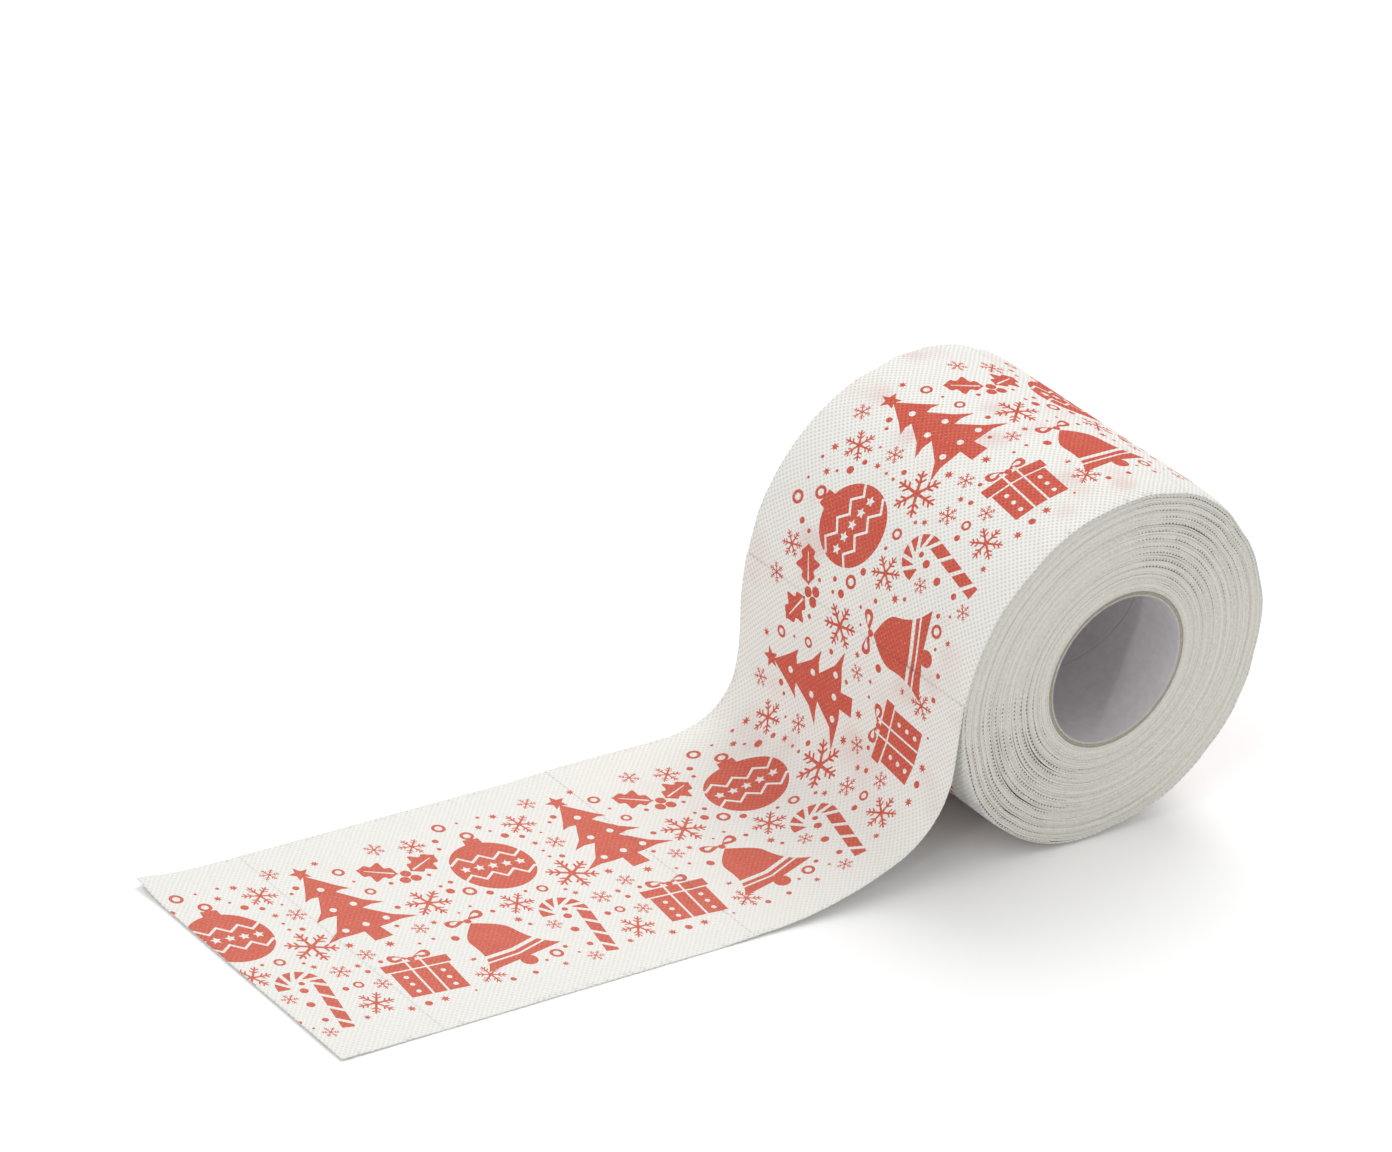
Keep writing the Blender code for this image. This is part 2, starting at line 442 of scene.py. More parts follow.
def candy_cane():
    path = [(0.14, -0.5 + 0.1 * step) for step in range(8)]
    for step in range(1, HOOK_STEPS + 1):
        turn = math.pi * 1.08 * step / HOOK_STEPS
        path.append((-0.03 + 0.17 * math.cos(turn), 0.2 + 0.17 * math.sin(turn)))
    shapes = [(True, stroke(path, 0.12))]
    for index in range(1, len(path) - 1, 2):
        x, y = path[index]
        after = path[index + 1]
        lean = math.atan2(after[1] - y, after[0] - x) + math.radians(58)
        reach = (0.09 * math.cos(lean), 0.09 * math.sin(lean))
        shapes.append((False, bar((x - reach[0], y - reach[1]), (x + reach[0], y + reach[1]), 0.038)))
    return shapes


def gift():
    shapes = [(True, bar((0, -0.46), (0, 0.06), 0.74)), (True, bar((0, 0.085), (0, 0.23), 0.84))]
    for side in (-1, 1):
        shapes.append((False, bar((side * 0.095, -0.5), (side * 0.095, 0.3), 0.028)))
    for row in range(3):
        for place in (-1, 1):
            shapes.append((False, circle(place * 0.235, -0.36 + 0.15 * row, 0.032, 10)))
    return shapes + bow(0.27, 0.27)


def holly():
    shapes = []
    for lean in (28, 152):
        turn = math.radians(lean)
        along = (math.cos(turn), math.sin(turn))
        sides = ([], [])
        for step in range(LEAF_STEPS + 1):
            share = step / LEAF_STEPS
            half = 0.15 * math.sin(math.pi * share) * (1 + 0.30 * math.cos(6 * math.pi * share + math.pi))
            for side, points in zip((-1, 1), sides):
                reach = 0.08 + 0.46 * share
                x = reach * along[0] - side * half * along[1]
                y = reach * along[1] + side * half * along[0]
                points.append((x, y))
        shapes.append((True, sides[0] + sides[1][-2:0:-1]))
        start = (0.13 * along[0], 0.13 * along[1])
        end = (0.45 * along[0], 0.45 * along[1])
        shapes.append((False, bar(start, end, 0.026, 0.012)))
    for turn in (90, 210, 330):
        x = 0.075 * math.cos(math.radians(turn))
        y = 0.075 * math.sin(math.radians(turn)) - 0.06
        shapes.append((True, circle(x, y, 0.062, 14)))
    return shapes


def snowflake():
    shapes = [(True, circle(0, 0, 0.085, 6))]
    for arm in range(6):
        turn = math.pi / 3 * arm + math.pi / 6
        tip = (0.5 * math.cos(turn), 0.5 * math.sin(turn))
        shapes.append((True, bar((0, 0), tip, 0.07, 0.045)))
        for reach, length in ((0.22, 0.15), (0.35, 0.13)):
            foot = (reach * math.cos(turn), reach * math.sin(turn))
            for side in (-1, 1):
                lean = turn + side * math.radians(52)
                end = (foot[0] + length * math.cos(lean), foot[1] + length * math.sin(lean))
                shapes.append((True, bar(foot, end, 0.05, 0.04)))
    return shapes


def dot():
    return [(True, circle(0, 0, 0.5, 14))]


def ring():
    return [(True, circle(0, 0, 0.5, 18)), (False, circle(0, 0, 0.27, 14))]


def burst():
    return [(True, star(0, 0, 0.5, 7, 0.45))]


# One repeat of the print: motif, place along the web, place across it, size and lean in degrees
MOTIFS = (
    (fir_tree, 12.5, 15.0, 39.0, 3),
    (gift, 13.0, -21.5, 23.0, -7),
    (bell, 39.5, -17.0, 29.0, 9),
    (holly, 37.0, 20.0, 25.0, -6),
    (bauble, 61.0, 16.0, 31.0, -9),
    (candy_cane, 63.5, -20.0, 30.0, -14),
    (snowflake, 34.0, 5.5, 13.0, 12),
    (snowflake, 77.5, 1.0, 14.5, 0),
    (snowflake, 55.0, -5.0, 10.5, 20),
    (snowflake, 79.5, 28.0, 10.0, 8),
    (snowflake, 77.0, -29.0, 10.5, 25),
    (snowflake, 28.0, -31.0, 8.5, 3),
    (snowflake, 46.5, 31.0, 8.0, 15),
)

# Small motifs between them: motif, least and greatest size, and how many places are tried
FILLER_KINDS = (
    (snowflake, 4.8, 6.2, 60),
    (ring, 2.6, 4.2, 70),
    (burst, 2.2, 3.6, 90),
    (dot, 0.8, 2.6, 420),
)


def placed(motif, x, y, size, lean):
    """A motif's outlines at its place on the web."""
    turn = math.radians(lean)
    across = size * math.cos(turn)
    along = size * math.sin(turn)
    shapes = []
    for is_ink, outline in motif():
        moved = [(x + px * across - py * along, y + px * along + py * across) for px, py in outline]
        shapes.append((is_ink, moved))
    return shapes


def resampled(outline):
    """Points all along an outline, close together."""
    points = []
    for (x0, y0), (x1, y1) in zip(outline, outline[1:] + outline[:1]):
        steps = math.ceil(math.hypot(x1 - x0, y1 - y0) / OUTLINE_STEP)
        for step in range(steps):
            share = step / steps
            points.append((between((x0, x1), share), between((y0, y1), share)))
    return points


def encloses(outline, x, y):
    """Whether a place lies inside an outline, from the edges that a ray from it crosses."""
    inside = False
    for (x0, y0), (x1, y1) in zip(outline, outline[1:] + outline[:1]):
        if (y0 > y) != (y1 > y) and x < x0 + (y - y0) / (y1 - y0) * (x1 - x0):
            inside = not inside
    return inside


def fillers():
    """Small flakes, rings, bursts and dots strewn in the free places between the motifs."""
    rng = np.random.default_rng(FILLER_SEED)
    reach = WEB_HALF / MM - CLEAR_EDGE
    solids = [outline for item in MOTIFS for is_ink, outline in placed(*item) if is_ink]
    points = np.array([point for outline in solids for point in resampled(outline)])
    radii = np.zeros(len(points))
    chosen = []
    for motif, least, most, tries in FILLER_KINDS:
        for _ in range(tries):
            x = rng.uniform(0, PRINT_REPEAT)
            y = rng.uniform(-reach, reach)
            size = rng.uniform(least, most)
            lean = rng.uniform(0, FILLER_LEAN)
            along = (points[:, 0] - x + PRINT_REPEAT / 2) % PRINT_REPEAT - PRINT_REPEAT / 2
            space = np.min(np.hypot(along, points[:, 1] - y) - radii) - size / 2
            copies = [x + shift * PRINT_REPEAT for shift in (-1, 0, 1)]
            covered = any(encloses(outline, copy, y) for outline in solids for copy in copies)
            if space > FILLER_SPACE and not covered:
                chosen.append((motif, x, y, size, lean))
                points = np.vstack((points, (x, y)))
                radii = np.append(radii, size / 2)
    return chosen


def print_shapes():
    """All the outlines of one repeat of the print."""
    shapes = []
    for item in (*MOTIFS, *fillers()):
        shapes += placed(*item)
    return shapes


PRINT = print_shapes()


def frayed(x, y, layer):
    """How far the web's edge strays at a place on it."""
    return EDGE_FRAY * noise.noise((x * EDGE_FRAY_SCALE, y * EDGE_FRAY_SCALE, layer))


def sheet_outline(start, end):
    """A flat sheet's edge: fine teeth at its perforated ends, a little fray along its sides."""
    half = WEB_HALF / MM
    along = np.linspace(start, end, round((end - start) / EDGE_STEP))
    across = np.linspace(-half, half, round(2 * half / TOOTH))
    near = [(s, -half + EDGE_FRAY + frayed(s, -half, NEAR_LAYER)) for s in along]
    far = [(s, half - EDGE_FRAY + frayed(s, half, FAR_LAYER)) for s in along[::-1]]
    last = [(end - TOOTH_DEPTH * (step % 2), v) for step, v in enumerate(across)][1:-1]
    first = [(start + TOOTH_DEPTH * (step % 2), v) for step, v in enumerate(across)][-2:0:-1]
    return near + last + far + first


def turned_left(outline):
    """The outline in the order that has its inside on the left."""
    area = sum(a[0] * b[1] - b[0] * a[1] for a, b in zip(outline, outline[1:] + outline[:1]))
    return outline if area > 0 else outline[::-1]


def shapes_on(start, end):
    """The print's outlines that reach this stretch of the web."""
    first = math.floor((start - PRINT_PHASE) / PRINT_REPEAT) - 1
    last = math.ceil((end - PRINT_PHASE) / PRINT_REPEAT) + 1
    for repeat in range(first, last + 1):
        shift = PRINT_PHASE + repeat * PRINT_REPEAT
        for is_ink, outline in PRINT:
            moved = [(x + shift, y) for x, y in outline]
            places = [x for x, _ in moved]
            if max(places) > start and min(places) < end:
                yield is_ink, moved


def flat_sheet(start, end):
    """Places and triangles of a flat sheet cut along its print's outlines, and which triangles are inked."""
    places = []
    faces = []
    kinds = []

    def add_outline(outline, kind):
        faces.append(range(len(places), len(places) + len(outline)))
        places.extend(turned_left(outline))
        kinds.append(kind)

    add_outline(sheet_outline(start, end), "sheet")
    for is_ink, outline in shapes_on(start, end):
        add_outline(outline, "ink" if is_ink else "gap")
    half = WEB_HALF / MM - GRID_MARGIN
    columns = round((end - start) / GRID)
    rows = round(2 * half / GRID)
    for s in np.linspace(start + GRID_MARGIN, end - GRID_MARGIN, columns):
        places.extend((s, v) for v in np.linspace(-half, half, rows))
    points = [Vector(place) for place in places]
    outlines = [list(face) for face in faces]
    found, _, triangles, _, _, origins = delaunay_2d_cdt(points, [], outlines, 0, SAME_POINT)
    kept = []
    inked = []
    for triangle, origin in zip(triangles, origins):
        parts = {kinds[face] for face in origin}
        if "sheet" in parts:
            kept.append(tuple(triangle))
            inked.append("ink" in parts and "gap" not in parts)
    used, corners = np.unique(kept, return_inverse=True)
    places = np.array([tuple(found[index]) for index in used]) * MM
    return places, corners.reshape(-1, 3), inked


# Where each stretch of the web lies: the place in space of its printed face


def round_dent(angle):
    """How far the roll is pressed in, the same for all layers at one angle."""
    x = FIRST_RADIUS * np.cos(angle)
    z = FIRST_RADIUS * np.sin(angle)
    return DENT_DEPTH * (0.5 + 0.5 * ripple(x, 0, z, DENT_SIZE, ROUND_LAYER))


def near_angle(angle, middle, width):
    """1 at an angle in degrees, fading to 0 over a width in degrees."""
    away = (np.degrees(angle) - middle + 180) % 360 - 180
    return np.exp(-((away / width) ** 2))


def rim_dent(angle, v):
    """How far the web turns in at the two ends of the roll, and is pressed in there."""
    from_edge = WEB_HALF - np.abs(v)
    rim = np.clip(1 - from_edge / RIM_WIDTH, 0, 1) ** 2
    soft = np.clip(1 - from_edge / DENT_REACH, 0, 1) ** 2
    x = FIRST_RADIUS * np.cos(angle)
    z = FIRST_RADIUS * np.sin(angle)
    uneven = np.maximum(ripple(x, np.sign(v) * FIRST_RADIUS, z, RIM_DENT_SIZE, RIM_LAYER), 0)
    near, far = (sum(depth * near_angle(angle, middle, width) for middle, width, depth in dents)
                 for dents in (NEAR_DENTS, FAR_DENTS))
    return rim * (RIM_DEPTH + RIM_DENT * uneven) + soft * np.where(v < 0, near, far)


def on_roll(s, v):
    """Round the roll, from where the loose sheet leaves it."""
    angle = (s - S_ROLL) / FIRST_RADIUS
    radius = FIRST_RADIUS - WRAP_DROP * angle / (2 * math.pi) - round_dent(angle) - rim_dent(angle, v)
    return np.stack((AXIS.x - radius * np.cos(angle), v, AXIS.z + radius * np.sin(angle)), axis=1)


def tail_height(s, v):
    """The tail's low waves, calm by the fold, and its step up under the loose sheet."""
    calm = smooth(np.abs(s - S_FOLD) / FOLD_CALM)
    waves = TAIL_TOP + TAIL_WAVE * calm * (0.5 + ripple(s, v, 0, WAVE_SIZE, TAIL_LAYER))
    lift = smooth((s - S_TAIL + STEP_UP) / STEP_UP)
    return waves + (TAIL_HIGHEST - waves) * lift


def on_table(s, v):
    """The tail, and past the fold the cut end, which waves more and curls at its far corner."""
    beyond = smooth((S_FOLD - s) / CUT_LENGTH)
    waves = CUT_WAVE * beyond * (0.5 + 0.5 * ripple(s, v, 0, WAVE_SIZE, CUT_LAYER))
    corner = np.hypot(s, v - WEB_HALF)
    curl = CORNER_CURL * smooth(1 - corner / CORNER_REACH) ** 2
    return np.stack((CUT_X + s, v, tail_height(s, v) + waves + curl), axis=1)


def lap_share(s):
    """The loose sheet's share of the full thickness along it."""
    from_end = np.minimum(s - S_TAIL, S_ROLL + OVERLAP - s)
    return LAP_THIN + (1 - LAP_THIN) * smooth(from_end / LAP_TAPER)


def on_loose(s, v):
    """From its lap over the roll straight down, round the foot, down the run-out and along the table."""
    share = (v + WEB_HALF) / (2 * WEB_HALF)
    foot = between(FOOT_RADIUS, share)
    runout = between(RUNOUT_RADIUS, share)
    foot_turn = math.pi / 2 - between(RUNOUT_ANGLE, share)
    runout_turn = between(RUNOUT_ANGLE, share)
    reach = foot * (1 - np.cos(foot_turn)) + runout * np.cos(foot_turn)
    drop = AXIS.z - LOOSE_TOP - foot * np.sin(foot_turn) - runout * (1 - np.sin(foot_turn))
    start_x = AXIS.x - FIRST_RADIUS - LOOSE_LIFT
    flat = start_x - reach - TAIL_X
    length = drop + foot * foot_turn + runout * runout_turn + flat
    travel = (S_ROLL - s) / SHEET_LENGTH * length
    straight = np.clip(travel, 0, drop)
    first = np.clip((travel - drop) / foot, 0, foot_turn)
    second = foot_turn + np.clip((travel - drop - foot * foot_turn) / runout, 0, runout_turn)
    rest = np.maximum(travel - length + flat, 0)
    x = start_x - foot * (1 - np.cos(first)) - runout * (np.cos(foot_turn) - np.cos(second)) - rest
    z = AXIS.z - straight - foot * np.sin(first) - runout * (np.sin(second) - np.sin(foot_turn))
    x += TUCK * share**2 * np.sin(math.pi * np.clip(z / TUCK_TOP, 0, 1)) ** 2
    above = np.maximum(s - S_ROLL, 0) / FIRST_RADIUS
    radius = FIRST_RADIUS + LOOSE_LIFT
    sunk = TISSUE * (1 - lap_share(s))
    inward = np.where(s > S_TAIL + SHEET_LENGTH / 2, above, math.pi / 2)
    x += radius * (1 - np.cos(above)) + sunk * np.cos(inward)
    z += radius * np.sin(above) - sunk * np.sin(inward)
    return np.stack((x, v, z), axis=1)


# Pieces. A sheet has two materials for its face, and from this place in their list two for its back.
BACK = 2


def new_piece(name, mesh, materials):
    for material in materials:
        mesh.materials.append(material)
    piece = bpy.data.objects.new(name, mesh)
    bpy.context.scene.collection.objects.link(piece)
    return piece


def printed_sheet(name, start, end, place, materials):
    """A sheet of the web with its print cut into its face. UVs are its places on the web, in metres."""
    flat, triangles, inked = flat_sheet(start / MM, end / MM)
    mesh = bpy.data.meshes.new(name)
    mesh.from_pydata(place(flat[:, 0], flat[:, 1]).tolist(), [], triangles.tolist())
    mesh.polygons.foreach_set("material_index", np.array(inked, dtype=np.int32))
    web = mesh.uv_layers.new(name="web")
    web.data.foreach_set("uv", flat[triangles.ravel()].astype(np.float32).ravel())
    mesh.shade_smooth()
    piece = new_piece(name, mesh, materials)
    thickness = piece.modifiers.new("thickness", "SOLIDIFY")
    thickness.thickness = TISSUE
    thickness.offset = -1
    thickness.material_offset = BACK
    thickness.material_offset_rim = BACK
    if place is on_loose:
        group = piece.vertex_groups.new(name="thickness")
        for index, share in enumerate(lap_share(flat[:, 0]).tolist()):
            group.add([index], share, "REPLACE")
        thickness.vertex_group = group.name
    return piece


def slackness(angle):
    """How slack the turns are at an angle."""
    return sum(amount * near_angle(angle, middle, width) for middle, width, amount in SLACK)


def spoke_angles(start):
    """The angles of one turn's sections from its start, close together where the turns are slack."""
    angles = [0.0]
    while angles[-1] < 2 * math.pi - COARSE_STEP:
        slack = slackness(start + angles[-1]) > SLACK_LEAST
        angles.append(angles[-1] + (FINE_STEP if slack else COARSE_STEP))
    return np.array(angles)


def turn_gaps(rng, angle, radius):
    """The gap under each turn: rows of dots in patches where the turns are slack, and some long gaps."""
    row_start = rng.random((TURNS, 1))
    row_depth = rng.uniform(*ROW_DEPTH, (TURNS, 1))
    row_depth[np.arange(TURNS) % DOT_ROW > 0] *= CLOSED_ROW
    dots = np.sin(math.pi * (radius * angle / DOT_PITCH + row_start)) ** DOT_SHARPNESS
    uneven = ripple(radius * np.cos(angle), 0, radius * np.sin(angle), PATCH_SIZE, PATCH_LAYER)
    patches = np.clip(PATCH_MIDDLE + PATCH_SWING * uneven, PATCH_LEAST, 1)
    patches *= smooth((radius - OUTER_PLY_OUTSIDE) / TIGHT_REACH)
    gaps = CLOSED_GAP + DOT_GAP * slackness(angle) * row_depth * patches * dots
    for distance, middle, width, gap in LONG_GAPS:
        turn = np.argmin(np.abs(radius - distance))
        gaps[turn] += gap * near_angle(angle, middle, width) * (1 - GAP_DOTS + GAP_DOTS * dots[turn])
    return gaps


def winding_sections():
    """Cross-sections of the winding from its outer end in to the core, four points each."""
    rng = np.random.default_rng(WINDING_SEED)
    start = WRAPPED_SHEETS * SHEET_LENGTH / FIRST_RADIUS
    outside = FIRST_RADIUS - WRAP_DROP * start / (2 * math.pi) - WINDING_SPACE
    inside = OUTER_PLY_OUTSIDE + WINDING_SPACE
    share = spoke_angles(start) / (2 * math.pi)
    weight = rng.uniform(1 - TURN_UNEVEN, 1 + TURN_UNEVEN, (TURNS, 1))
    pitch = (outside - inside) * weight / weight.sum()
    first = outside - np.cumsum(pitch, axis=0) + pitch
    outer = first - pitch * share
    outer[0] = outside - np.interp(share, (0, LAP_START, 1), (0, WRAP_DROP * LAP_START, pitch[0, 0]))
    below = np.vstack((outer[1:], np.full_like(share, inside - WINDING_SPACE)))
    gaps = turn_gaps(rng, start + 2 * math.pi * share, first)
    inner = (below + np.minimum(gaps, WIDEST * (outer - below))).ravel()
    outer = outer.ravel()
    turn = (np.arange(TURNS)[:, None] + share).ravel()
    angle = start + 2 * math.pi * turn
    depth = outside - outer
    columns = []
    for side in (-1, 1):
        pressed = round_dent(angle) + rim_dent(angle, side * (WEB_HALF - EDGE_FRAY * MM))
        slip = np.interp(turn, np.arange(TURNS + 1), rng.normal(size=TURNS + 1))
        recess = RIM_RECESS * np.exp(-depth / RECESS_FADE) + TELESCOPE * (1 + np.clip(slip, *SLIP_RANGE))
        edge = WEB_HALF - recess - FRAY * rng.random(len(turn))
        for face in (outer, inner):
            radius = face - pressed * ((face - inside) / (outside - inside)) ** 2
            x = AXIS.x - radius * np.cos(angle)
            z = AXIS.z + radius * np.sin(angle)
            columns.append(np.stack((x, side * edge, z), axis=1))
    near_out, near_in, far_out, far_in = columns
    return np.stack((near_out, far_out, far_in, near_in), axis=1)


def winding(material):
    """The many inner turns, as one unbroken strip."""
    sections = winding_sections()
    count, corners = sections.shape[:2]
    base = corners * np.arange(count - 1)[:, None]
    sides = []
    for corner in range(corners):
        after = (corner + 1) % corners
        sides.append(base + np.array((corner, after, after + corners, corner + corners)))
    first_end = np.arange(corners)[::-1]
    last_end = corners * (count - 1) + np.arange(corners)
    faces = np.vstack((*sides, first_end, last_end))
    mesh = bpy.data.meshes.new("fine_winding")
    mesh.from_pydata(sections.reshape(-1, 3).tolist(), [], faces.tolist())
    mesh.shade_smooth()
    mesh.set_sharp_from_angle(angle=SHARP_ANGLE)
    return new_piece("fine_winding", mesh, [material])


def core_ply(name, outside, ply, start, materials):
    """One board strip of the core: a helical band, cut at both ends, with a little fray there."""
    mesh = bmesh.new()
    low = -WEB_HALF - SEAM_LEAD
    x = -outside * math.cos(start)
    z = outside * math.sin(start)
    width = SEAM_LEAD - SEAM_GAP
    heights = (0, BOARD_EDGE, width - BOARD_EDGE, width)
    verts = [mesh.verts.new((x, low + height, z)) for height in heights]
    edges = [mesh.edges.new(pair) for pair in zip(verts, verts[1:])]
    # The two turns to spare are cut off below
    turns = math.ceil(2 * WEB_HALF / SEAM_LEAD) + 2
    bmesh.ops.spin(
        mesh,
        geom=[*verts, *edges],
        cent=(0, 0, 0),
        axis=(0, 1, 0),
        dvec=(0, SEAM_LEAD / PLY_STEPS, 0),
        angle=2 * math.pi * turns,
        steps=PLY_STEPS * turns,
    )
    # Both ends are cut off first, and then a narrow strip is marked off along each
    for side, inset in ((-1, BOARD_FRAY), (1, BOARD_FRAY), (-1, BOARD_EDGE), (1, BOARD_EDGE)):
        bmesh.ops.bisect_plane(
            mesh,
            geom=[*mesh.verts, *mesh.edges, *mesh.faces],
            dist=SAME_POINT * MM,
            plane_co=(0, side * (WEB_HALF - inset), 0),
            plane_no=(0, side, 0),
            clear_outer=inset == BOARD_FRAY,
        )
    for vert in mesh.verts:
        if WEB_HALF - abs(vert.co.y) < 2 * BOARD_FRAY:
            vert.co.y += BOARD_FRAY * noise.noise(vert.co * BOARD_FRAY_SCALE)
    bmesh.ops.recalc_face_normals(mesh, faces=mesh.faces)
    outward = 0
    for face in mesh.faces:
        middle = face.calc_center_median()
        outward += face.normal.dot(Vector((middle.x, 0, middle.z)))
    if outward < 0:
        bmesh.ops.reverse_faces(mesh, faces=mesh.faces)
    data = bpy.data.meshes.new(name)
    mesh.to_mesh(data)
    mesh.free()
    data.transform(Matrix.Translation(AXIS))
    data.shade_smooth()
    piece = new_piece(name, data, materials)
    thickness = piece.modifiers.new("thickness", "SOLIDIFY")
    thickness.thickness = ply
    thickness.offset = -1
    thickness.material_offset_rim = 1
    return piece


# Materials


def new_material(name, roughness):
    material = bpy.data.materials.new(name)
    material.use_nodes = True
    shader = material.node_tree.nodes["Principled BSDF"]
    shader.inputs["Roughness"].default_value = roughness
    shader.inputs["Specular IOR Level"].default_value = SPECULAR
    return material, material.node_tree, shader


def add(tree, kind, inputs, **settings):
    """A new node, with values and links for its inputs."""
    node = tree.nodes.new("ShaderNode" + kind)
    for name, value in settings.items():
        setattr(node, name, value)
    for name, value in inputs.items():
        if isinstance(value, bpy.types.NodeSocket):
            tree.links.new(value, node.inputs[name])
        else:
            node.inputs[name].default_value = value
    return node


def calc(tree, operation, first, second=0.0, third=0.0):
    return add(tree, "Math", {0: first, 1: second, 2: third}, operation=operation).outputs[0]


def calc_between(tree, pair, share):
    """A value that goes evenly from the first of a pair to the second."""
    return calc(tree, "MULTIPLY_ADD", share, pair[1] - pair[0], pair[0])


def calc_sum(tree, *parts):
    """The sum of two values, each times its share."""
    return calc(tree, "ADD", *(calc(tree, "MULTIPLY", value, share) for value, share in parts))


def mix(tree, share, first, second):
    """A colour between two. The node's colour sockets are its inputs 6 and 7 and its output 2."""
    node = add(tree, "Mix", {0: share, 6: first, 7: second}, data_type="RGBA")
    return node.outputs[2]


def soft_step(tree, value, low, high):
    """0 below low, 1 above high."""
    inputs = {"Value": value, "From Min": low, "From Max": high}
    return add(tree, "MapRange", inputs, interpolation_type="SMOOTHSTEP").outputs[0]


def grain(tree, vector, scale, detail):
    return add(tree, "TexNoise", {"Vector": vector, "Scale": scale, "Detail": detail}).outputs["Fac"]


def bump(tree, strength_and_depth, height, **below):
    """A bump of this strength and depth, over the one below it if there is one."""
    strength, depth = strength_and_depth
    return add(tree, "Bump", {"Strength": strength, "Distance": depth, "Height": height, **below}).outputs[0]


def dimples(tree, vector):
    """The embossed lattice: 1 in each small dimple, 0 between them, for the dimples' bump and their painted
    shade. Its rows wander a little.
    """
    wander = {"Vector": vector, "Scale": EMBOSS_DRIFT_SCALE, "Detail": 1.0}
    drift = add(tree, "TexNoise", wander).outputs["Color"]
    drift = add(tree, "VectorMath", {0: drift, "Scale": EMBOSS_WANDER}, operation="SCALE").outputs[0]
    moved = add(tree, "VectorMath", {0: vector, 1: drift}, operation="ADD").outputs[0]
    split = add(tree, "SeparateXYZ", {0: moved}).outputs
    turn = 2 * math.pi / EMBOSS_PITCH
    waves = [calc(tree, "SINE", calc(tree, "MULTIPLY", split[axis], turn)) for axis in (0, 1)]
    return soft_step(tree, calc(tree, "MULTIPLY", *waves), *DIMPLE_EDGE)


def wound_share(tree, vector):
    """0 where the web lies on the table, rising along the loose sheet to 1 where it is wound on the roll:
    there the dimples' painted shade is deeper, the ink's painted light is gone, and print shows from below.
    """
    along = add(tree, "SeparateXYZ", {0: vector}).outputs[0]
    return soft_step(tree, along, S_TAIL, S_ROLL)


def tissue_bump(tree, shader, vector, dimple):
    """Soft creases and fibres under the embossed dimples."""
    soft = bump(tree, CREASE_BUMP, grain(tree, vector, CREASE_SCALE, detail=3.0))
    fine = bump(tree, FIBRE_BUMP, grain(tree, vector, FIBRE_SCALE, detail=2.0), Normal=soft)
    pressed = bump(tree, DIMPLE_BUMP, calc(tree, "MULTIPLY", dimple, -1.0), Normal=fine)
    tree.links.new(pressed, shader.inputs["Normal"])


def tissue(name, below=0.0, behind=0.0):
    """White embossed tissue. Print shows faintly from the layer below, or from behind on the sheet itself."""
    material, tree, shader = new_material(name, TISSUE_ROUGHNESS)
    vector = add(tree, "UVMap", {}).outputs[0]
    wound = wound_share(tree, vector)
    dimple = dimples(tree, vector)
    cloud = grain(tree, vector, CLOUD_SCALE, detail=3.0)
    spread = {"Vector": vector, "Scale": BLOTCH_SCALE}
    cells = add(tree, "TexVoronoi", spread, feature="SMOOTH_F1").outputs["Distance"]
    blotch = calc(tree, "SUBTRACT", 1.0, soft_step(tree, cells, *BLOTCH_EDGE))
    patch = soft_step(tree, grain(tree, vector, BLOTCH_PATCH_SCALE, detail=1.0), *BLOTCH_PATCH_EDGE)
    blotches = calc(tree, "MULTIPLY", blotch, patch)
    shown = calc(tree, "MULTIPLY", blotches, calc(tree, "MULTIPLY", wound, below))
    # Painted shade in the dimples, deeper where the web is wound on the roll
    depth = calc_between(tree, DIMPLE_PAINTED_SHADE, wound)
    colour = mix(tree, calc(tree, "MULTIPLY", cloud, CLOUD_SHARE), PAPER, PAPER_GREY_AND_PAINTED_SHADE)
    colour = mix(tree, calc(tree, "MAXIMUM", shown, behind), colour, SHOW_THROUGH)
    colour = mix(tree, calc(tree, "MULTIPLY", dimple, depth), colour, PAPER_GREY_AND_PAINTED_SHADE)
    tree.links.new(colour, shader.inputs["Base Color"])
    tissue_bump(tree, shader, vector, dimple)
    return material


def ink():
    """Red print on embossed tissue, thin and speckled where the fibres stand up, paler on the table as
    painted light, and with painted shade in its dimples.
    """
    material, tree, shader = new_material("red_print", INK_ROUGHNESS)
    vector = add(tree, "UVMap", {}).outputs[0]
    wound = wound_share(tree, vector)
    dimple = dimples(tree, vector)
    speckle = soft_step(tree, grain(tree, vector, SPECKLE_SCALE, detail=3.0), *SPECKLE_EDGE)
    cloud = grain(tree, vector, INK_CLOUD_SCALE, detail=2.0)
    share = calc_sum(tree, (speckle, SPECKLE_SHARE), (cloud, INK_CLOUD_SHARE))
    # Paler ink where the web lies on the table: painted light
    share = calc(tree, "ADD", share, calc_between(tree, INK_PAINTED_LIGHT_ON_TABLE, wound))
    colour = mix(tree, share, INK, INK_LIGHT)
    # Painted shade in the ink's dimples, deeper where the web is wound on the roll
    depth = calc_between(tree, INK_DIMPLE_PAINTED_SHADE, wound)
    colour = mix(tree, calc(tree, "MULTIPLY", dimple, depth), colour, INK_PAINTED_SHADE)
    tree.links.new(colour, shader.inputs["Base Color"])
    tissue_bump(tree, shader, vector, dimple)
    return material


